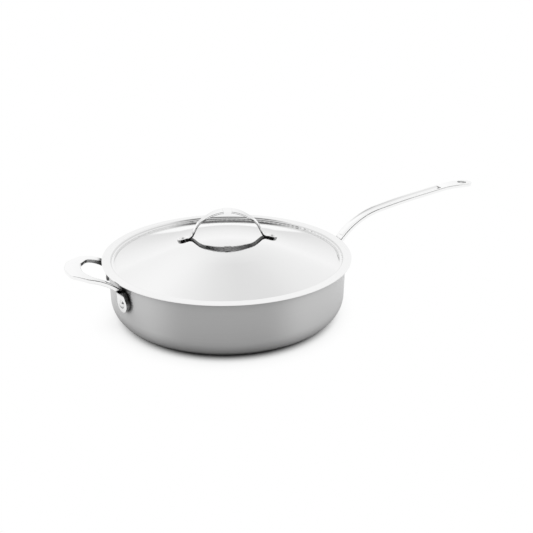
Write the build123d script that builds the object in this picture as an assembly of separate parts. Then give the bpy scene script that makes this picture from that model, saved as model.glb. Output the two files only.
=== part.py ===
"""Saute pan with lid, in millimetres.

Frame: origin at the centre of the flat base underside, +Z up through the lid,
+X towards the long handle, so the helper handle points along -X.
"""
from build123d import *

import math
import os

# Pan body: three bonded plies, pressed into one straight-sided bowl
PAN_OUTER_R = 146.5
PAN_HEIGHT = 74.2
PAN_CORNER_R = 27.0
OUTER_PLY_T = 0.4
CORE_T = 1.4
INNER_PLY_T = 0.4

# Lid: one pressed sheet with a flat flange, a channel that drops inside the rim and a low dome,
# a cone whose crown is a sphere with a share of the radius of a cap as wide and as high
LID_T = 1.0
LID_OVERHANG = 7.1
LID_STEP_GAP = 0.6
LID_STEP_DROP = 4.3
LID_CHANNEL_W = 2.8
LID_SHOULDER_W = 3.0
LID_DOME_EDGE_DROP = 3.2
LID_DOME_RISE = 22.8
LID_CROWN_SHARE = 0.775
LID_FLANGE_BEND_R = 1.5
LID_CHANNEL_BEND_R = 1.2
LID_SHOULDER_BEND_R = 6.0

# Rivets: one shank size, low domed heads that seat on curved faces
RIVET_SHANK_R = 3.0
RIVET_FIT = 0.05
RIVET_HEAD_R = 5.2
RIVET_HEAD_H = 2.2
RIVET_INSIDE_H = 1.6
LID_RIVET_HEAD_R = 4.0
LID_RIVET_HEAD_H = 1.8
LID_RIVET_INSIDE_H = 1.3
RIVET_SKIRT = 1.2
SHANK_INTO_HEAD = 0.6

# Long handle: cast strap. REACH is from the pan wall, UP and BELOW from the rim,
# and the knee, grip and rest lie at shares of the reach
HANDLE_T = 4.7
HANDLE_FOOT_BELOW = 33.2
HANDLE_LEAVE_BELOW = 12.9
HANDLE_KNEE_UP = 28.5
HANDLE_GRIP_UP = 44.0
HANDLE_REST_UP = 57.1
HANDLE_REACH = 218.5
HANDLE_KNEE_SHARE = 0.159
HANDLE_GRIP_SHARE = 0.473
HANDLE_REST_SHARE = 0.826
HANDLE_END_UP = 57.9
HANDLE_LEAVE_BEND_R = 20.0
HANDLE_KNEE_BEND_R = 100.0
HANDLE_GRIP_BEND_R = 600.0
HANDLE_REST_BEND_R = 200.0
HANDLE_EDGE_ROUND = 0.9

# Long handle seen from above: neck, grip and tip half widths, and where each starts or ends
HANDLE_NECK_HALF_W = 7.8
HANDLE_NECK_END_SHARE = 0.222
HANDLE_GRIP_HALF_W = 8.6
HANDLE_GRIP_START_SHARE = 0.428
HANDLE_GRIP_END_SHARE = 0.8
HANDLE_TIP_HALF_W = 10.2
HANDLE_TIP_START_SHARE = 0.9
HANDLE_PLAN_BEND_R = 60.0

# Long handle foot seen from outside, its rivets, and the hollow and the hole in the grip
HANDLE_FOOT_HALF_W = 22.0
HANDLE_FOOT_WIDE_BELOW = 20.2
HANDLE_FOOT_TOP_BELOW = 6.2
HANDLE_FOOT_CORNER_R = 8.0
HANDLE_RIVET_BELOW = 26.2
HANDLE_RIVET_HALF_SPACING = 13.5
GROOVE_HALF_W = 5.4
GROOVE_DEPTH = 1.2
GROOVE_START_OUT = 13.5
GROOVE_END_SHARE = 0.757
HANG_HOLE_R = 6.0
HANG_HOLE_FROM_END = 14.5

# Helper handle: cast loop, given like the long handle
HELPER_T = 4.8
HELPER_FOOT_BELOW = 34.7
HELPER_LEAVE_BELOW = 10.7
HELPER_KNEE_OUT = 15.9
HELPER_KNEE_UP = 2.7
HELPER_LEVEL_OUT = 37.5
HELPER_LEVEL_UP = 7.0
HELPER_END_UP = 7.8
HELPER_LEAVE_BEND_R = 10.0
HELPER_KNEE_BEND_R = 45.0
HELPER_LEVEL_BEND_R = 60.0
HELPER_EDGE_ROUND = 0.9

# Helper handle seen from above: outer line, finger opening and legs
HELPER_REACH = 51.3
HELPER_CORNER_OUT = 46.0
HELPER_CORNER_HALF_W = 22.0
HELPER_SHOULDER_OUT = 28.0
HELPER_SHOULDER_HALF_W = 38.2
HELPER_END_BEND_R = 30.0
HELPER_CORNER_BEND_R = 16.0
HELPER_OPENING_REACH = 32.1
HELPER_OPENING_CORNER_OUT = 31.0
HELPER_OPENING_CORNER_HALF_W = 14.0
HELPER_OPENING_SHOULDER_OUT = 21.5
HELPER_OPENING_SHOULDER_HALF_W = 30.5
HELPER_OPENING_END_BEND_R = 60.0
HELPER_OPENING_CORNER_BEND_R = 12.0
HELPER_LEG_HALF_SPREAD = 47.0
HELPER_LEG_HALF_W = 4.4
HELPER_LEG_RUN_IN = 8.5
HELPER_PAD_R = 10.0
HELPER_PAD_BELOW = 24.7
HELPER_PAD_TAPER_H = 15.0

# Lid handle: arched strap whose feet lie on the dome, turned as it stands in the photograph
LID_HANDLE_TURN = -15.8
LID_HANDLE_T = 2.4
LID_HANDLE_HALF_W = 8.2
LID_HANDLE_LEG_HALF_W = 4.8
LID_HANDLE_PLAN_BEND_R = 40.0
LID_ARCH_CLEAR_H = 29.3
LID_ARCH_FLAT_HALF_L = 13.0
LID_ARCH_SHOULDER_HALF_L = 34.8
LID_ARCH_SHOULDER_DROP = 14.0
LID_ARCH_LEG_HALF_L = 43.7
LID_ARCH_CROWN_BEND_R = 40.0
LID_ARCH_SHOULDER_BEND_R = 22.0
LID_ARCH_LEG_BEND_R = 9.0
LID_HANDLE_EDGE_ROUND = 0.7
LID_FOOT_START = 49.0
LID_FOOT_R = 6.3
LID_HEAD_GAP = 0.3
LID_RIVET_HALF_SPACING = 55.5
LID_PAD_HALF_L = 5.4
LID_PAD_HALF_W = 8.6
LID_PAD_DROP = 0.6
LID_PAD_ROUND = 1.5

# Angles that the strap sections are spun through before they are trimmed
HANDLE_SWEEP = 24.0
HELPER_SWEEP = 64.0

# Overrun of cutting and trimming bodies
OVERRUN = 30.0

# Sizes that follow from those above
pan_wall_t = OUTER_PLY_T + CORE_T + INNER_PLY_T
pan_inner_r = PAN_OUTER_R - pan_wall_t
lid_r = PAN_OUTER_R + LID_OVERHANG
lid_step_r = pan_inner_r - LID_STEP_GAP - LID_T
channel_in_r = lid_step_r - LID_CHANNEL_W
dome_edge_r = channel_in_r - LID_SHOULDER_W
flange_z = PAN_HEIGHT + LID_T
channel_z = flange_z - LID_STEP_DROP
dome_top_z = flange_z + LID_DOME_RISE
dome_edge_z = flange_z - LID_DOME_EDGE_DROP
dome_h = dome_top_z - dome_edge_z
dome_sphere_r = LID_CROWN_SHARE * (dome_edge_r**2 + dome_h**2) / (2 * dome_h)
dome_centre_z = dome_top_z - dome_sphere_r
dome_edge_up = dome_edge_z - dome_centre_z
dome_edge_away = math.hypot(dome_edge_r, dome_edge_up)
crown_angle = math.atan2(dome_edge_r, dome_edge_up) - math.acos(dome_sphere_r / dome_edge_away)
crown_r = dome_sphere_r * math.sin(crown_angle)
groove_r = (GROOVE_HALF_W**2 + GROOVE_DEPTH**2) / (2 * GROOVE_DEPTH)
tall = dome_top_z + LID_ARCH_CLEAR_H + HANDLE_END_UP + OVERRUN
BASE = (Align.CENTER, Align.CENTER, Align.MIN)


def rounded_line(points, bends):
    """Straight runs between points, with each inner corner rounded to its bend radius."""
    line = Wire(Polyline(*points).edges())
    for corner, radius in zip(points[1:-1], bends):
        if radius:
            line = line.fillet_2d(radius, [line.vertices().sort_by_distance((*corner, 0))[0]])
    return line


def parallel(points, bends, distance):
    """Points and bends of the line that keeps a distance to the right of another."""
    headings = [math.atan2(end[1] - start[1], end[0] - start[0]) for start, end in zip(points, points[1:])]
    moved = []
    for (x, y), arriving, leaving in zip(points, headings[:1] + headings, headings + headings[-1:]):
        middle = (arriving + leaving) / 2
        shift = distance / math.cos((leaving - arriving) / 2)
        moved.append((x + shift * math.sin(middle), y - shift * math.cos(middle)))
    turns = [leaving - arriving for arriving, leaving in zip(headings, headings[1:])]
    return moved, [radius + math.copysign(distance, distance * turn) for radius, turn in zip(bends, turns)]


def strip_face(points, bends, thickness):
    """Section of a bent strip, from its line to the parallel on the line's right."""
    far_points, far_bends = parallel(points, bends, thickness)
    sides = rounded_line(points, bends).edges() + rounded_line(far_points, far_bends).edges()
    return make_face([*sides, Line(points[0], far_points[0]), Line(points[-1], far_points[-1])])


def closed_face(points, bends):
    return make_face(rounded_line(points, bends) + Line(points[-1], points[0]))


def mirrored_face(half_points, half_bends):
    """Face symmetrical about the local X axis, from the points and bends of its upper half."""
    ends_on_axis = half_points[-1][1] == 0
    back = slice(-2 if ends_on_axis else -1, None, -1)
    points = half_points + [(x, -y) for x, y in half_points[back]]
    return closed_face(points, half_bends + half_bends[back])


def spun(section, sweep, middle):
    """Turn a radius-height section about the pan's axis, centred on one direction."""
    return Rot(0, 0, middle - sweep / 2) * revolve(Plane.XZ * section, Axis.Z, revolution_arc=sweep)


def strap_band(points, bends, thickness, sweep, middle):
    """A strap's section spun about the pan's axis, so that its foot fits the round wall."""
    return spun(strip_face(points, bends, thickness), sweep, middle)


def upright(face):
    """A plan outline as a tall body, for trimming a strap from above."""
    return extrude(face, tall, dir=(0, 0, 1))


def outward(face, angle):
    """An outline seen from outside the wall, its local Y as height, as a body for trimming a foot."""
    return Rot(0, 0, angle) * extrude(Plane.YZ * face, PAN_OUTER_R + OVERRUN, dir=(1, 0, 0))


def rounded_beyond(strap, radius, edge_round):
    """Round a strap's edges wherever they lie further out than a radius."""
    free = strap.edges().filter_by(lambda edge: math.hypot(edge.center().X, edge.center().Y) > radius)
    return fillet(free, edge_round)


def ply(outer_r, corner_r, floor_z, thickness):
    """One ply of the bowl: base, rounded corner and straight wall up to the rim."""
    inner_r = outer_r - thickness
    flat_r = outer_r - corner_r
    corner_z = floor_z + corner_r
    outline = Line((0, floor_z), (flat_r, floor_z))
    outline += CenterArc((flat_r, corner_z), corner_r, -90, 90)
    outline += Polyline(
        (outer_r, corner_z), (outer_r, PAN_HEIGHT), (inner_r, PAN_HEIGHT), (inner_r, corner_z)
    )
    outline += CenterArc((flat_r, corner_z), corner_r - thickness, -90, 90)
    outline += Polyline((flat_r, floor_z + thickness), (0, floor_z + thickness), (0, floor_z))
    return revolve(Plane.XZ * make_face(outline), Axis.Z)


def dome_height(radius):
    return dome_centre_z + math.sqrt(dome_sphere_r**2 - radius**2)


def lid_sheet():
    """The pressed lid: its upper line with rounded bends, thickened downwards and spun."""
    crown_end = (crown_r, dome_height(crown_r))
    crown = ThreePointArc((0, dome_top_z), (crown_r / 2, dome_height(crown_r / 2)), crown_end)
    rest = Polyline(
        crown_end,
        (dome_edge_r, dome_edge_z),
        (channel_in_r, channel_z),
        (lid_step_r, channel_z),
        (lid_step_r, flange_z),
        (lid_r, flange_z),
    )
    bends = [
        ((lid_step_r, flange_z), LID_FLANGE_BEND_R),
        ((lid_step_r, channel_z), LID_CHANNEL_BEND_R),
        ((channel_in_r, channel_z), LID_CHANNEL_BEND_R),
        ((dome_edge_r, dome_edge_z), LID_SHOULDER_BEND_R),
    ]
    line = Wire(crown.edges() + rest.edges())
    for corner, radius in bends:
        line = line.fillet_2d(radius, [line.vertices().sort_by_distance((*corner, 0))[0]])
    strip = line.offset_2d(LID_T, side=Side.RIGHT)
    return revolve(Plane.XZ * Face(strip), Axis.Z)


def rivet_head(radius, height):
    """A low dome on a short skirt, so that it can be trimmed to a curved seat."""
    cap_r = (radius**2 + height**2) / (2 * height)
    skirt = Pos(0, 0, -RIVET_SKIRT) * Cylinder(radius, RIVET_SKIRT + height, align=BASE)
    return skirt & Pos(0, 0, height - cap_r) * Sphere(cap_r)


def shank_between(inner_face, outer_face):
    """Shank along +Z that runs a little way into both heads."""
    length = outer_face - inner_face + 2 * SHANK_INTO_HEAD
    return Pos(0, 0, inner_face - SHANK_INTO_HEAD) * Cylinder(RIVET_SHANK_R, length, align=BASE)


def wall_rivet(angle, height, foot_t):
    """A rivet through foot and wall: shank, low dome outside, flatter dome inside."""
    outer_face = PAN_OUTER_R + foot_t
    outside = Pos(0, 0, outer_face) * rivet_head(RIVET_HEAD_R, RIVET_HEAD_H)
    inside = Pos(0, 0, pan_inner_r) * Rot(180, 0, 0) * rivet_head(RIVET_HEAD_R, RIVET_INSIDE_H)
    outside = Rot(0, 90, 0) * outside - Cylinder(outer_face, OVERRUN)
    inside = (Rot(0, 90, 0) * inside) & Cylinder(pan_inner_r, OVERRUN)
    shank = Rot(0, 90, 0) * shank_between(pan_inner_r, outer_face)
    return Rot(0, 0, angle) * Pos(0, 0, height) * (shank + outside + inside)


def wall_hole(angle, height):
    drill = Pos(PAN_OUTER_R, 0, 0) * Rot(0, 90, 0) * Cylinder(RIVET_SHANK_R + RIVET_FIT, OVERRUN)
    return Rot(0, 0, angle) * Pos(0, 0, height) * drill


def square_to_dome(local, side):
    """Tilt a body made on the dome's polar axis to a lid rivet's place."""
    tilt = math.degrees(math.asin(LID_RIVET_HALF_SPACING / dome_sphere_r))
    return Rot(0, 0, LID_HANDLE_TURN) * Pos(0, 0, dome_centre_z) * Rot(0, side * tilt, 0) * local


def lid_rivet(side):
    outer_face = dome_sphere_r + LID_HANDLE_T
    inner_face = dome_sphere_r - LID_T
    outside = Pos(0, 0, outer_face) * rivet_head(LID_RIVET_HEAD_R, LID_RIVET_HEAD_H) - Sphere(outer_face)
    inside = Pos(0, 0, inner_face) * Rot(180, 0, 0) * rivet_head(LID_RIVET_HEAD_R, LID_RIVET_INSIDE_H)
    inside &= Sphere(inner_face)
    return square_to_dome(shank_between(inner_face, outer_face) + outside + inside, side)


def lid_hole(side):
    drill = Pos(0, 0, dome_sphere_r) * Cylinder(RIVET_SHANK_R + RIVET_FIT, OVERRUN)
    return square_to_dome(drill, side)


# Bowl, drilled for the rivets of both handles
foot_angle = math.degrees(math.asin(HANDLE_RIVET_HALF_SPACING / PAN_OUTER_R))
handle_places = [(side * foot_angle, PAN_HEIGHT - HANDLE_RIVET_BELOW) for side in (-1, 1)]
leg_angle = math.degrees(math.asin(HELPER_LEG_HALF_SPREAD / PAN_OUTER_R))
helper_places = [(180 + side * leg_angle, PAN_HEIGHT - HELPER_PAD_BELOW) for side in (-1, 1)]
wall_holes = [wall_hole(angle, height) for angle, height in handle_places + helper_places]

core_outer_r = PAN_OUTER_R - OUTER_PLY_T
core_corner_r = PAN_CORNER_R - OUTER_PLY_T
outer_ply = ply(PAN_OUTER_R, PAN_CORNER_R, 0, OUTER_PLY_T) - wall_holes
core_ply = ply(core_outer_r, core_corner_r, OUTER_PLY_T, CORE_T) - wall_holes
inner_floor = OUTER_PLY_T + CORE_T
inner_ply = ply(core_outer_r - CORE_T, core_corner_r - CORE_T, inner_floor, INNER_PLY_T) - wall_holes

# Long handle: side section first, then its plan, then the foot that spreads on the wall
handle_line = [
    (PAN_OUTER_R, PAN_HEIGHT - HANDLE_FOOT_BELOW),
    (PAN_OUTER_R, PAN_HEIGHT - HANDLE_LEAVE_BELOW),
    (PAN_OUTER_R + HANDLE_KNEE_SHARE * HANDLE_REACH, PAN_HEIGHT + HANDLE_KNEE_UP),
    (PAN_OUTER_R + HANDLE_GRIP_SHARE * HANDLE_REACH, PAN_HEIGHT + HANDLE_GRIP_UP),
    (PAN_OUTER_R + HANDLE_REST_SHARE * HANDLE_REACH, PAN_HEIGHT + HANDLE_REST_UP),
    (PAN_OUTER_R + HANDLE_REACH + HANDLE_TIP_HALF_W, PAN_HEIGHT + HANDLE_END_UP),
]
handle_bends = [HANDLE_LEAVE_BEND_R, HANDLE_KNEE_BEND_R, HANDLE_GRIP_BEND_R, HANDLE_REST_BEND_R]
handle_band = strap_band(handle_line, handle_bends, HANDLE_T, HANDLE_SWEEP, 0)

tip_x = PAN_OUTER_R + HANDLE_REACH - HANDLE_TIP_HALF_W
half_plan = [
    (PAN_OUTER_R - HANDLE_NECK_HALF_W, HANDLE_NECK_HALF_W),
    (PAN_OUTER_R + HANDLE_NECK_END_SHARE * HANDLE_REACH, HANDLE_NECK_HALF_W),
    (PAN_OUTER_R + HANDLE_GRIP_START_SHARE * HANDLE_REACH, HANDLE_GRIP_HALF_W),
    (PAN_OUTER_R + HANDLE_GRIP_END_SHARE * HANDLE_REACH, HANDLE_GRIP_HALF_W),
    (PAN_OUTER_R + HANDLE_TIP_START_SHARE * HANDLE_REACH, HANDLE_TIP_HALF_W),
    (tip_x, HANDLE_TIP_HALF_W),
]
plan = mirrored_face(half_plan, [HANDLE_PLAN_BEND_R] * 4 + [0])
plan += Pos(tip_x, 0) * Circle(HANDLE_TIP_HALF_W)
strap = handle_band & upright(plan)
strap = rounded_beyond(strap, PAN_OUTER_R + 2 * HANDLE_T, HANDLE_EDGE_ROUND)

foot_face = closed_face(
    [
        (-HANDLE_NECK_HALF_W, PAN_HEIGHT - HANDLE_FOOT_TOP_BELOW),
        (-HANDLE_FOOT_HALF_W, PAN_HEIGHT - HANDLE_FOOT_WIDE_BELOW),
        (-HANDLE_FOOT_HALF_W, PAN_HEIGHT - HANDLE_FOOT_BELOW),
        (HANDLE_FOOT_HALF_W, PAN_HEIGHT - HANDLE_FOOT_BELOW),
        (HANDLE_FOOT_HALF_W, PAN_HEIGHT - HANDLE_FOOT_WIDE_BELOW),
        (HANDLE_NECK_HALF_W, PAN_HEIGHT - HANDLE_FOOT_TOP_BELOW),
    ],
    [HANDLE_FOOT_CORNER_R] * 4,
)
long_handle = strap + (handle_band & outward(foot_face, 0))

groove_path = Plane.XZ * rounded_line(*parallel(handle_line, handle_bends, GROOVE_DEPTH - groove_r))
groove = sweep(Plane(origin=groove_path @ 0, z_dir=groove_path % 0) * Circle(groove_r), groove_path)
groove &= Pos(PAN_OUTER_R + GROOVE_START_OUT, 0, 0) * Box(
    GROOVE_END_SHARE * HANDLE_REACH - GROOVE_START_OUT,
    2 * HANDLE_TIP_HALF_W,
    tall,
    align=(Align.MIN, Align.CENTER, Align.MIN),
)
long_handle -= groove
hang_hole_x = PAN_OUTER_R + HANDLE_REACH - HANG_HOLE_FROM_END
long_handle -= Pos(hang_hole_x, 0, PAN_HEIGHT + HANDLE_END_UP) * Cylinder(HANG_HOLE_R, OVERRUN)
long_handle -= [wall_hole(angle, height) for angle, height in handle_places]

# Helper handle: side section, loop outline with its finger opening, and two round feet
helper_line = [
    (PAN_OUTER_R, PAN_HEIGHT - HELPER_FOOT_BELOW),
    (PAN_OUTER_R, PAN_HEIGHT - HELPER_LEAVE_BELOW),
    (PAN_OUTER_R + HELPER_KNEE_OUT, PAN_HEIGHT + HELPER_KNEE_UP),
    (PAN_OUTER_R + HELPER_LEVEL_OUT, PAN_HEIGHT + HELPER_LEVEL_UP),
    (PAN_OUTER_R + HELPER_REACH, PAN_HEIGHT + HELPER_END_UP),
]
helper_bends = [HELPER_LEAVE_BEND_R, HELPER_KNEE_BEND_R, HELPER_LEVEL_BEND_R]
helper_band = strap_band(helper_line, helper_bends, HELPER_T, HELPER_SWEEP, 180)

leg_x = -math.sqrt(PAN_OUTER_R**2 - HELPER_LEG_HALF_SPREAD**2) + HELPER_LEG_RUN_IN
outer_outline = mirrored_face(
    [
        (leg_x, HELPER_LEG_HALF_SPREAD + HELPER_LEG_HALF_W),
        (-PAN_OUTER_R - HELPER_SHOULDER_OUT, HELPER_SHOULDER_HALF_W),
        (-PAN_OUTER_R - HELPER_CORNER_OUT, HELPER_CORNER_HALF_W),
        (-PAN_OUTER_R - HELPER_REACH, 0),
    ],
    [HELPER_CORNER_BEND_R, HELPER_CORNER_BEND_R, HELPER_END_BEND_R],
)
finger_outline = mirrored_face(
    [
        (leg_x, HELPER_LEG_HALF_SPREAD - HELPER_LEG_HALF_W),
        (-PAN_OUTER_R - HELPER_OPENING_SHOULDER_OUT, HELPER_OPENING_SHOULDER_HALF_W),
        (-PAN_OUTER_R - HELPER_OPENING_CORNER_OUT, HELPER_OPENING_CORNER_HALF_W),
        (-PAN_OUTER_R - HELPER_OPENING_REACH, 0),
    ],
    [HELPER_OPENING_CORNER_BEND_R, HELPER_OPENING_CORNER_BEND_R, HELPER_OPENING_END_BEND_R],
)
pad_z = PAN_HEIGHT - HELPER_PAD_BELOW
loop = helper_band & Pos(0, 0, pad_z) * upright(outer_outline - finger_outline)
loop = rounded_beyond(loop, PAN_OUTER_R + 2 * HELPER_T, HELPER_EDGE_ROUND)
taper = closed_face(
    [
        (-HELPER_LEG_HALF_W, pad_z + HELPER_PAD_TAPER_H),
        (-HELPER_PAD_R, pad_z),
        (HELPER_PAD_R, pad_z),
        (HELPER_LEG_HALF_W, pad_z + HELPER_PAD_TAPER_H),
    ],
    [0, 0],
)
pad_face = Pos(0, pad_z) * Circle(HELPER_PAD_R) + taper
helper_handle = loop + [helper_band & outward(pad_face, angle) for angle, height in helper_places]
helper_handle -= [wall_hole(angle, height) for angle, height in helper_places]

# Lid, drilled for its handle
lid_shell = lid_sheet() - [lid_hole(side) for side in (-1, 1)]

# Lid handle: half an arch and its mirror image, a pad at the crown and a foot at each end
arch_z = dome_top_z + LID_ARCH_CLEAR_H
arch_end = LID_RIVET_HALF_SPACING - LID_RIVET_HEAD_R - LID_HEAD_GAP
arch_line = [
    (0, arch_z),
    (LID_ARCH_FLAT_HALF_L, arch_z),
    (LID_ARCH_SHOULDER_HALF_L, arch_z - LID_ARCH_SHOULDER_DROP),
    (LID_ARCH_LEG_HALF_L, dome_height(LID_ARCH_LEG_HALF_L)),
    (arch_end, dome_height(arch_end)),
]
arch_bends = [LID_ARCH_CROWN_BEND_R, LID_ARCH_SHOULDER_BEND_R, LID_ARCH_LEG_BEND_R]
arch_section = Plane.XZ * strip_face(arch_line, arch_bends, -LID_HANDLE_T)
arch_plan = mirrored_face(
    [
        (0, LID_HANDLE_HALF_W),
        (LID_ARCH_FLAT_HALF_L, LID_HANDLE_HALF_W),
        (LID_ARCH_LEG_HALF_L, LID_HANDLE_LEG_HALF_W),
        (arch_end, LID_HANDLE_LEG_HALF_W),
    ],
    [LID_HANDLE_PLAN_BEND_R, LID_HANDLE_PLAN_BEND_R, 0],
)
half_arch = extrude(arch_section, LID_HANDLE_HALF_W, both=True) & upright(arch_plan)
along = half_arch.faces().sort_by(Axis.X)
long_edges = half_arch.edges() - along[0].edges() - along[-1].edges()
half_arch = fillet(long_edges, LID_HANDLE_EDGE_ROUND)
pad_plan = RectangleRounded(2 * LID_PAD_HALF_L, 2 * LID_PAD_HALF_W, LID_PAD_ROUND)
crown_pad = extrude(Pos(0, 0, arch_z - LID_PAD_DROP) * pad_plan, LID_HANDLE_T + LID_PAD_DROP)
foot_plan = Pos(LID_RIVET_HALF_SPACING, 0) * Circle(LID_FOOT_R)
foot_plan += Pos(LID_FOOT_START, 0) * Rectangle(
    LID_RIVET_HALF_SPACING - LID_FOOT_START, 2 * LID_HANDLE_LEG_HALF_W, align=(Align.MIN, Align.CENTER)
)
foot = Pos(0, 0, dome_centre_z) * Sphere(dome_sphere_r + LID_HANDLE_T) & upright(foot_plan)
half_handle = half_arch + foot - Pos(0, 0, dome_centre_z) * Sphere(dome_sphere_r)
lid_handle = half_handle + mirror(half_handle, Plane.YZ) + crown_pad
lid_handle = Rot(0, 0, LID_HANDLE_TURN) * lid_handle - [lid_hole(side) for side in (-1, 1)]

# Write one STEP file per node
handle_rivets = Compound([wall_rivet(angle, height, HANDLE_T) for angle, height in handle_places])
helper_rivets = Compound([wall_rivet(angle, height, HELPER_T) for angle, height in helper_places])
nodes = {
    "pan_outer_ply": outer_ply,
    "pan_aluminium_core": core_ply,
    "pan_inner_ply": inner_ply,
    "long_handle": long_handle,
    "long_handle_rivets": handle_rivets,
    "helper_handle": helper_handle,
    "helper_handle_rivets": helper_rivets,
    "lid_shell": lid_shell,
    "lid_handle": lid_handle,
    "lid_handle_rivets": Compound([lid_rivet(side) for side in (-1, 1)]),
}
os.makedirs("parts", exist_ok=True)
for name, shape in nodes.items():
    export_step(shape, f"parts/{name}.step")
    box = shape.bounding_box()
    corners = [round(v, 1) for v in (*box.min, *box.max)]
    print(name, len(shape.solids()), "solid", round(shape.volume), "mm3", corners)
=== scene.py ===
# %% [markdown]
# # Saute pan with lid
# A wide, low pan of bonded steel and aluminium, with a cast strap handle, a small loop opposite it
# and a pressed lid. The real one is pressed from sheet, brushed on a lathe and fitted with cast,
# mirror-polished handles on rivets. The solids come from CAD as a fixed frame. Blender adds what
# the eye reads first on such a thing: how each kind of steel mirrors a bright room.

# %% Load the frame
import math

import bpy
from mathutils import Matrix, Vector

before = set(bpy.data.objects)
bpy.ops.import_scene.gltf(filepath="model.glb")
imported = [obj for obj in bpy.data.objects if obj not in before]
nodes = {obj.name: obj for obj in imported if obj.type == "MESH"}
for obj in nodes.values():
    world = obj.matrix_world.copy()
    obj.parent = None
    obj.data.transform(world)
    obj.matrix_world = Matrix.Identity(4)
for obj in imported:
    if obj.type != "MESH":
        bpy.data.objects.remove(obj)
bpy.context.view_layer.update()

# %% [markdown]
# The camera stands where the photographer's did: turned a little to the left of straight on,
# looking down by 22 degrees, a little over three quarters of a metre away. Its numbers were worked
# out from the ellipses of the lid and the base. A camera has a place and a turn, and the turn is
# built here from plain steps: swing round, tip up from straight down, then a trace of roll.

# %% Camera
CAMERA_AT = Vector((-0.2427, -0.7047, 0.3607))
CAMERA_SWING = math.radians(-22.735)
CAMERA_TILT = math.radians(22.308)
CAMERA_ROLL = math.radians(0.505)
LENS_MM = 43.01
SENSOR_MM = 36.0
SIGHT = 100.0

camera_data = bpy.data.cameras.new("photo_camera")
camera_data.lens = LENS_MM
camera_data.sensor_width = SENSOR_MM
camera_data.clip_end = SIGHT
camera = bpy.data.objects.new("photo_camera", camera_data)
bpy.context.scene.collection.objects.link(camera)
turn = (
    Matrix.Rotation(CAMERA_SWING, 4, "Z")
    @ Matrix.Rotation(math.pi / 2 - CAMERA_TILT, 4, "X")
    @ Matrix.Rotation(CAMERA_ROLL, 4, "Z")
)
camera.matrix_world = Matrix.Translation(CAMERA_AT) @ turn
bpy.context.scene.camera = camera
bpy.context.scene.view_settings.view_transform = "Standard"
print("camera", [round(v, 3) for v in CAMERA_AT], "lens", camera_data.lens)

# %% [markdown]
# Materials are small graphs of nodes, and a few helpers keep them short. One turns a colour written
# as on a web page into the linear numbers that a renderer adds up. One adds a node, sets it and
# wires its inputs in a single line, and two shorter forms of it do sums. Two more serve the floor
# and the room: one tells apart the kinds of ray, and one draws a scale of greys through stops.

# %% Helpers for materials
def linear(hex_colour):
    """An sRGB colour such as "#C0C0C0" as linear RGBA."""
    parts = [int(hex_colour[i:i + 2], 16) / 255 for i in (1, 3, 5)]
    return (*[p / 12.92 if p <= 0.04045 else ((p + 0.055) / 1.055) ** 2.4 for p in parts], 1.0)


def put(tree, kind, settings=(), links=()):
    """Add a node. Settings go to sockets, by name or number, or else to the node's properties."""
    node = tree.nodes.new(kind)
    for key, value in dict(settings).items():
        if isinstance(key, int) or key in node.inputs:
            node.inputs[key].default_value = value
        else:
            setattr(node, key, value)
    for key, source in dict(links).items():
        tree.links.new(source, node.inputs[key])
    return node


def number(tree, operation, links, settings=()):
    """The result of a sum on numbers."""
    settings = {"operation": operation, **dict(settings)}
    return put(tree, "ShaderNodeMath", settings, links).outputs[0]


def vector(tree, operation, links, settings=()):
    """The result of a sum on vectors."""
    settings = {"operation": operation, **dict(settings)}
    return put(tree, "ShaderNodeVectorMath", settings, links).outputs[0]


def empty_material(name):
    """A new material with nothing in its graph but the output."""
    material = bpy.data.materials.new(name)
    material.use_nodes = True
    material.node_tree.nodes.clear()
    put(material.node_tree, "ShaderNodeOutputMaterial")
    return material, material.node_tree


def finish_graph(tree, shader):
    """Wire the last shader to the output."""
    tree.links.new(shader.outputs[0], tree.nodes["Material Output"].inputs["Surface"])


def any_ray(tree, kinds):
    """One for rays of the named kinds, nought for the others."""
    path = put(tree, "ShaderNodeLightPath")
    total = path.outputs[kinds[0]]
    for kind in kinds[1:]:
        total = number(tree, "MAXIMUM", {0: total, 1: path.outputs[kind]})
    return total


def ramp(tree, value, stops):
    """A colour ramp through (place, grey) stops in rising order, in linear light."""
    node = put(tree, "ShaderNodeValToRGB", links={0: value})
    points = node.color_ramp.elements
    for place, _ in stops[2:]:
        points.new(place)
    for point, (place, grey) in zip(points, stops):
        point.position = place
        point.color = (grey, grey, grey, 1.0)
    return node.outputs["Color"]


print("mid grey #808080 is", round(linear("#808080")[0], 3), "in linear light")

# %% [markdown]
# A corner between two faces gets less light than the open face beside it. Ambient Occlusion
# measures how open a place is, from 0 to 1. A ramp turns that into a tone, and the colour of the
# metal sinks to a dark shade by it: shade painted into the colour.

# %% Painted corner shade
CORNER_SAMPLES = 12


def paint_corner_shade(tree, shader, shade, reach, stops):
    """Paint shade into the shader's colour where other faces stand within reach."""
    sky = put(
        tree, "ShaderNodeAmbientOcclusion", {"samples": CORNER_SAMPLES, "Distance": reach},
    )
    tone = put(
        tree, "ShaderNodeMix", {"data_type": "RGBA", 6: linear(shade)},
        {0: ramp(tree, sky.outputs["AO"], stops)},
    )
    colour = shader.inputs["Base Color"]
    if colour.is_linked:
        tree.links.new(colour.links[0].from_socket, tone.inputs[7])
    else:
        tone.inputs[7].default_value = colour.default_value
    tree.links.new(tone.outputs[2], colour)


print("corners are sampled", CORNER_SAMPLES, "times")

# %% [markdown]
# Lathe-finished steel carries fine rings from the brush. Their pattern must run round the pan's
# axis on the flat floor of the pan and on the upright wall alike. So the graph turns a point into
# two things: the direction it lies in, seen from above, and how far it is along the profile, as
# radius plus height. Noise that is stretched along the first and squeezed along the second looks
# like rings.

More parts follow.
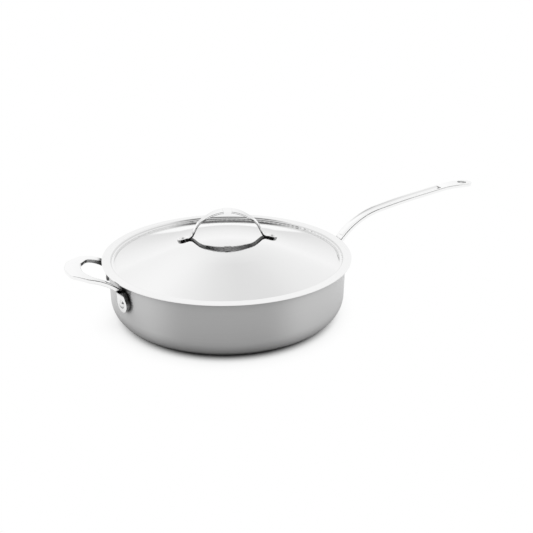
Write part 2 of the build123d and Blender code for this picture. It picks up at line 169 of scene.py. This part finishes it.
# %% Ring coordinates
def ring_coordinates(tree, rings_per_metre, arcs):
    """A vector for noise: slow round the axis, fast along the profile."""
    place = put(tree, "ShaderNodeTexCoord")
    parts = put(tree, "ShaderNodeSeparateXYZ", links={0: place.outputs["Object"]})
    level = put(
        tree, "ShaderNodeCombineXYZ", links={"X": parts.outputs["X"], "Y": parts.outputs["Y"]},
    )
    radius = put(tree, "ShaderNodeVectorMath", {"operation": "LENGTH"}, {0: level.outputs[0]})
    heading = vector(tree, "NORMALIZE", {0: level.outputs[0]})
    heading = vector(tree, "SCALE", {0: heading}, {"Scale": arcs})
    along = number(tree, "ADD", {0: radius.outputs["Value"], 1: parts.outputs["Z"]})
    along = number(tree, "MULTIPLY", {0: along}, {1: rings_per_metre})
    rings = put(tree, "ShaderNodeCombineXYZ", links={"Z": along})
    return vector(tree, "ADD", {0: heading, 1: rings.outputs[0]})


print("rings run round Z, and their count is set for each metal")

# %% [markdown]
# The wall is steel brushed while it spins, so every scratch runs round the pan. Such a surface
# blurs a reflection up and down, across the scratches, and keeps it sharper sideways. That is why
# the real wall shows upright bands, light at both sides and darker in the middle. A rough metal
# with strong anisotropy along the radial tangent does the same. The inside is satin, with coarser
# rings, and the cut edge of the aluminium core is turned, with finer ones. Faint cloudiness keeps
# each from looking printed. Painted shade darkens the wall's colour under the lid's flange and
# by the table.

# %% Brushed steels
ARCS = 3.0
CLOUD_SHARE = 0.35
RING_SHADES = (0.96, 1.03)
RING_STRENGTH = 0.25
ACROSS_THE_RINGS = 0.25
# Painted shade in the wall's corners: its tone, reach and stops.
WALL_REACH = 0.014
WALL_PAINTED_SHADE = "#181818"
WALL_STOPS = [(0.0, 0.0), (0.35, 0.02), (0.6, 0.4), (0.78, 0.85), (0.92, 1.0), (1.0, 1.0)]


def brushed_steel(name, colour, roughness, spread, rings_per_metre, anisotropy, depth, corner=()):
    """Steel brushed on a lathe: rings in the roughness, the tone and the height."""
    material, tree = empty_material(name)
    rings = ring_coordinates(tree, rings_per_metre, ARCS)
    fine = put(
        tree, "ShaderNodeTexNoise", {"Scale": 1.0, "Detail": 3.0, "Roughness": 0.6},
        {"Vector": rings},
    )
    place = put(tree, "ShaderNodeTexCoord")
    cloud = put(
        tree, "ShaderNodeTexNoise", {"Scale": 9.0, "Detail": 2.0},
        {"Vector": place.outputs["Object"]},
    )
    both = number(
        tree, "MULTIPLY_ADD", {0: cloud.outputs["Fac"], 2: fine.outputs["Fac"]}, {1: CLOUD_SHARE},
    )
    rough = put(
        tree, "ShaderNodeMapRange",
        {
            "From Min": 0.4, "From Max": 0.95,
            "To Min": roughness - spread, "To Max": roughness + spread,
        },
        {"Value": both},
    )
    dark, light = [
        tuple(min(1.0, v * shade) for v in linear(colour)[:3]) + (1.0,) for shade in RING_SHADES
    ]
    tone = put(
        tree, "ShaderNodeMix", {"data_type": "RGBA", 6: dark, 7: light}, {0: fine.outputs["Fac"]},
    )
    bump = put(
        tree, "ShaderNodeBump", {"Strength": RING_STRENGTH, "Distance": depth},
        {"Height": fine.outputs["Fac"]},
    )
    tangent = put(tree, "ShaderNodeTangent", {"direction_type": "RADIAL", "axis": "Z"})
    shader = put(
        tree, "ShaderNodeBsdfPrincipled",
        {"Metallic": 1.0, "Anisotropic": anisotropy, "Anisotropic Rotation": ACROSS_THE_RINGS},
        {
            "Base Color": tone.outputs[2], "Roughness": rough.outputs[0],
            "Normal": bump.outputs[0], "Tangent": tangent.outputs[0],
        },
    )
    # When corner is given, shade is painted into the colour in the corners.
    if corner:
        paint_corner_shade(tree, shader, *corner)
    finish_graph(tree, shader)
    return material


wall_steel = brushed_steel(
    "brushed_stainless_wall", "#CFCFCF", roughness=0.43, spread=0.02, rings_per_metre=900.0,
    anisotropy=0.95, depth=0.00001, corner=(WALL_PAINTED_SHADE, WALL_REACH, WALL_STOPS),
)
inside_steel = brushed_steel(
    "satin_stainless_interior", "#BFC0C1", roughness=0.34, spread=0.04, rings_per_metre=700.0,
    anisotropy=0.45, depth=0.00003,
)
core_metal = brushed_steel(
    "turned_aluminium_edge", "#CDCECF", roughness=0.42, spread=0.05, rings_per_metre=1500.0,
    anisotropy=0.3, depth=0.00003,
)
print("brushed metals", wall_steel.name, inside_steel.name, core_metal.name)

# %% [markdown]
# Handles and rivets are cast or headed steel, tumbled and then buffed on a wheel to a mirror. The
# lid is sheet, buffed after pressing. Buffing leaves two traces: a slow waver, as the wheel digs in
# a little here and there, and a haze of fine scratches. One small bump and a little noise in the
# roughness stand for them. Painted shade turns the colour black under an arch, in the corner beside
# a wall and inside a hole: with a wide reach on the two small straps, and a short one on the long
# grip, whose hollow is more open.

# %% Polished steels
WAVER_STRENGTH = 0.3
HAZE_RANGE = (0.8, 1.3)
# Painted shade on the handles: black, with a reach and stops for the straps and for the grip.
CORNER_PAINTED_SHADE = "#000000"
STRAP_REACH = 0.038
STRAP_STOPS = [(0.0, 0.01), (0.36, 0.03), (0.57, 0.2), (0.74, 0.7), (0.87, 1.0), (1.0, 1.0)]
GRIP_REACH = 0.016
GRIP_STOPS = [(0.0, 0.01), (0.42, 0.02), (0.53, 0.1), (0.63, 0.7), (0.72, 1.0), (1.0, 1.0)]


def polished_steel(name, colour, roughness, waver, corner=()):
    """Steel after mirror polishing: nearly clean reflections that waver a little."""
    material, tree = empty_material(name)
    place = put(tree, "ShaderNodeTexCoord").outputs["Object"]
    swell = put(tree, "ShaderNodeTexNoise", {"Scale": 60.0, "Detail": 1.0}, {"Vector": place})
    haze = put(tree, "ShaderNodeTexNoise", {"Scale": 500.0, "Detail": 3.0}, {"Vector": place})
    clear, hazy = [roughness * share for share in HAZE_RANGE]
    rough = put(
        tree, "ShaderNodeMapRange",
        {"From Min": 0.3, "From Max": 0.7, "To Min": clear, "To Max": hazy},
        {"Value": haze.outputs["Fac"]},
    )
    bump = put(
        tree, "ShaderNodeBump", {"Strength": WAVER_STRENGTH, "Distance": waver},
        {"Height": swell.outputs["Fac"]},
    )
    shader = put(
        tree, "ShaderNodeBsdfPrincipled", {"Base Color": linear(colour), "Metallic": 1.0},
        {"Roughness": rough.outputs[0], "Normal": bump.outputs[0]},
    )
    # When corner is given, shade is painted into the colour in the corners.
    if corner:
        paint_corner_shade(tree, shader, *corner)
    finish_graph(tree, shader)
    return material


# The straps and the grip differ only in how far their painted shade reaches.
strap_steel = polished_steel(
    "mirror_polished_cast_strap", "#ECECEC", roughness=0.05, waver=0.00002,
    corner=(CORNER_PAINTED_SHADE, STRAP_REACH, STRAP_STOPS),
)
grip_steel = polished_steel(
    "mirror_polished_cast_grip", "#ECECEC", roughness=0.05, waver=0.00002,
    corner=(CORNER_PAINTED_SHADE, GRIP_REACH, GRIP_STOPS),
)
rivet_steel = polished_steel("polished_rivet_steel", "#DEDEDE", roughness=0.08, waver=0.00003)
lid_polish = polished_steel("mirror_polished_lid_sheet", "#E6E6E6", roughness=0.07, waver=0.00001)
print("polished metals", strap_steel.name, grip_steel.name, rivet_steel.name, lid_polish.name)

# %% [markdown]
# All the pieces are hard metal with exact forms, so the CAD solids stay as they are, each with its
# own finish: three plies that show at the rim as steel, aluminium, steel, then the handles, the
# rivets and the lid. Nothing here is soft or woven, and no piece needs a stand-in.

# %% Dress the CAD nodes
finishes = {
    "pan_outer_ply": wall_steel, "pan_aluminium_core": core_metal, "pan_inner_ply": inside_steel,
    "long_handle": grip_steel, "helper_handle": strap_steel, "lid_handle": strap_steel,
    "long_handle_rivets": rivet_steel, "helper_handle_rivets": rivet_steel,
    "lid_handle_rivets": rivet_steel, "lid_shell": lid_polish,
}
for name, material in finishes.items():
    for slot in nodes[name].material_slots:
        slot.material = material
print("dressed", len(finishes), "nodes")

# %% [markdown]
# The pan stands on a white table. A table close to a pan gets less light, because the pan hides
# part of the room from it. Ambient Occlusion measures just that, so the table's tone follows it:
# black where the base touches, white a hand's width away. In the photograph the dark ground looks
# narrow on the table and wide where the pan's wall mirrors it, so mirror rays get a wider one.
# Other light bounces off plain matt white, so that the pan is lit as it would be on a real table.
# From below the floor lets the view through, so that the base can be looked at.

# %% Floor
# Stops are (how open the place is, tone in linear light).
TABLE_STOPS = [(0.0, 0.0), (0.10, 0.02), (0.26, 0.5), (0.38, 0.82), (0.5, 0.95), (0.62, 1.0)]
TABLE_REACH = 0.09
MIRRORED_STOPS = [(0.0, 0.0), (0.4, 0.0), (0.51, 0.1), (0.66, 0.5), (0.82, 0.98), (0.92, 1.08)]
MIRRORED_REACH = 0.3
TABLE_SAMPLES = 24
TABLE_RADIUS = 14.0
TABLE_BELOW = 0.0004
SEEN = ("Is Camera Ray", "Is Glossy Ray", "Is Transmission Ray")
MIRRORED = ("Is Glossy Ray",)


def table_tone(tree, reach, stops):
    """The table's tone by how much of the room it sees within reach."""
    sky = put(tree, "ShaderNodeAmbientOcclusion", {"samples": TABLE_SAMPLES, "Distance": reach})
    return ramp(tree, sky.outputs["AO"], stops)


bpy.ops.object.select_all(action="DESELECT")
bpy.ops.mesh.primitive_circle_add(
    vertices=96, radius=TABLE_RADIUS, fill_type="NGON", location=(0, 0, -TABLE_BELOW),
)
floor = bpy.context.object
floor.name = "studio_floor"

floor_paint, tree = empty_material("matt_white_floor")
tone = put(
    tree, "ShaderNodeMix", {"data_type": "RGBA"},
    {
        0: any_ray(tree, MIRRORED), 6: table_tone(tree, TABLE_REACH, TABLE_STOPS),
        7: table_tone(tree, MIRRORED_REACH, MIRRORED_STOPS),
    },
)
seen_white = put(tree, "ShaderNodeEmission", links={"Color": tone.outputs[2]})
matt = put(tree, "ShaderNodeBsdfDiffuse", {"Color": linear("#EAEAEA")})
from_above = put(
    tree, "ShaderNodeMixShader",
    links={0: any_ray(tree, SEEN), 1: matt.outputs[0], 2: seen_white.outputs[0]},
)
facing = put(tree, "ShaderNodeNewGeometry")
clear = put(tree, "ShaderNodeBsdfTransparent")
both_sides = put(
    tree, "ShaderNodeMixShader",
    links={0: facing.outputs["Backfacing"], 1: from_above.outputs[0], 2: clear.outputs[0]},
)
finish_graph(tree, both_sides)
floor.data.materials.append(floor_paint)
print("floor", floor.name, "at", round(floor.location.z, 4))

# %% [markdown]
# Bare steel has hardly a colour of its own: it shows the room. The room here is a photographer's: a
# dark side where the photograph was taken from, bright white walls to both sides and behind, a grey
# strip where the back wall meets the table, and a ceiling that is dimmer overhead. The world draws
# it for mirror rays from the ray's direction alone, so it stays put when the camera moves. The
# camera itself sees plain white, and matt surfaces get an even light.

# %% World
# Stops are (place, tone in linear light). Places run up from the horizon (UP), from the side the
# photograph was taken from to the back (AROUND) or from left to right (ACROSS).
WALLS_UP = [
    (0.0, 0.85), (0.25, 1.05), (0.4, 1.14), (0.5, 1.08), (0.7, 1.0),
    (0.78, 0.93), (0.86, 0.92), (0.93, 0.6), (1.0, 0.5),
]
DARK_AROUND = [(0.0, 1.0), (0.13, 1.0), (0.34, 0.0), (1.0, 0.0)]
DARK_UP = [(0.0, 1.0), (0.7, 1.0), (0.84, 0.0), (1.0, 0.0)]
DARKNESS = 0.98
SIDES_ACROSS = [
    (0.0, 0.22), (0.33, 0.25), (0.45, 0.05), (0.5, 0.0), (0.58, 0.0),
    (0.66, 0.08), (0.8, 0.1), (1.0, 0.1),
]
SIDES_UP = [(0.0, 0.0), (0.45, 0.0), (0.8, 1.0), (1.0, 1.0)]
EVEN_LIGHT = 0.62
FROM_MINUS_ONE = {"From Min": -1.0, "From Max": 1.0}

world = bpy.data.worlds.new("studio_room")
bpy.context.scene.world = world
world.use_nodes = True
tree = world.node_tree
tree.nodes.clear()
place = put(tree, "ShaderNodeTexCoord")
turned = put(
    tree, "ShaderNodeVectorRotate", {"rotation_type": "Z_AXIS", "Angle": -CAMERA_SWING},
    {"Vector": place.outputs["Generated"]},
)
parts = put(tree, "ShaderNodeSeparateXYZ", links={0: turned.outputs[0]})
up = parts.outputs["Z"]
flat = put(tree, "ShaderNodeCombineXYZ", links={"X": parts.outputs["X"], "Y": parts.outputs["Y"]})
compass = put(
    tree, "ShaderNodeSeparateXYZ", links={0: vector(tree, "NORMALIZE", {0: flat.outputs[0]})},
)
away = put(tree, "ShaderNodeMapRange", FROM_MINUS_ONE, {"Value": compass.outputs["Y"]})
across = put(tree, "ShaderNodeMapRange", FROM_MINUS_ONE, {"Value": parts.outputs["X"]})
dark = number(
    tree, "MULTIPLY",
    {0: ramp(tree, away.outputs[0], DARK_AROUND), 1: ramp(tree, up, DARK_UP)},
)
lit = number(tree, "MULTIPLY_ADD", {0: dark}, {1: -DARKNESS, 2: 1.0})
room = vector(
    tree, "MULTIPLY_ADD",
    {
        0: ramp(tree, across.outputs[0], SIDES_ACROSS), 1: ramp(tree, up, SIDES_UP),
        2: ramp(tree, up, WALLS_UP),
    },
)
room = vector(tree, "SCALE", {0: room, "Scale": lit})
even = put(
    tree, "ShaderNodeMapRange", {"To Min": EVEN_LIGHT, "To Max": 1.0},
    {"Value": any_ray(tree, SEEN)},
)
seen = put(
    tree, "ShaderNodeMix", {"data_type": "RGBA"},
    {0: any_ray(tree, MIRRORED), 6: even.outputs[0], 7: room},
)
air = put(tree, "ShaderNodeBackground", links={"Color": seen.outputs[2]})
put(tree, "ShaderNodeOutputWorld", links={"Surface": air.outputs[0]})
print("world", world.name, "nodes", len(tree.nodes))

# %% [markdown]
# Three large lamps behind diffusing cloth give the forms a little direction: the largest hangs
# behind and above, two smaller ones stand at the sides. Mirror rays pass them by, because the room
# above already draws what steel sees of them.

# %% Lamps
LAMP_AIM = Vector((0, 0, 0.05))


def softbox(name, azimuth, height, distance, width, tall, glow):
    """A soft lamp that faces the pan. Azimuth is measured from the photograph's side."""
    angle = CAMERA_SWING + math.radians(azimuth)
    data = bpy.data.lights.new(name, "AREA")
    data.shape = "RECTANGLE"
    data.size, data.size_y = width, tall
    data.energy = glow * math.pi * width * tall
    lamp = bpy.data.objects.new(name, data)
    bpy.context.scene.collection.objects.link(lamp)
    level = distance * math.cos(math.radians(height))
    rise = distance * math.sin(math.radians(height))
    lamp.location = (level * math.sin(angle), -level * math.cos(angle), rise)
    lamp.rotation_euler = (LAMP_AIM - lamp.location).to_track_quat("-Z", "Y").to_euler()
    lamp.visible_glossy = False
    return lamp


lamps = [
    softbox("back_softbox", 180, 42, distance=2.6, width=2.4, tall=1.4, glow=1.35),
    softbox("left_softbox", -105, 25, distance=2.4, width=1.2, tall=1.2, glow=1.1),
    softbox("right_softbox", 105, 25, distance=2.4, width=1.2, tall=1.2, glow=1.0),
]
print("lamps", [lamp.name for lamp in lamps])
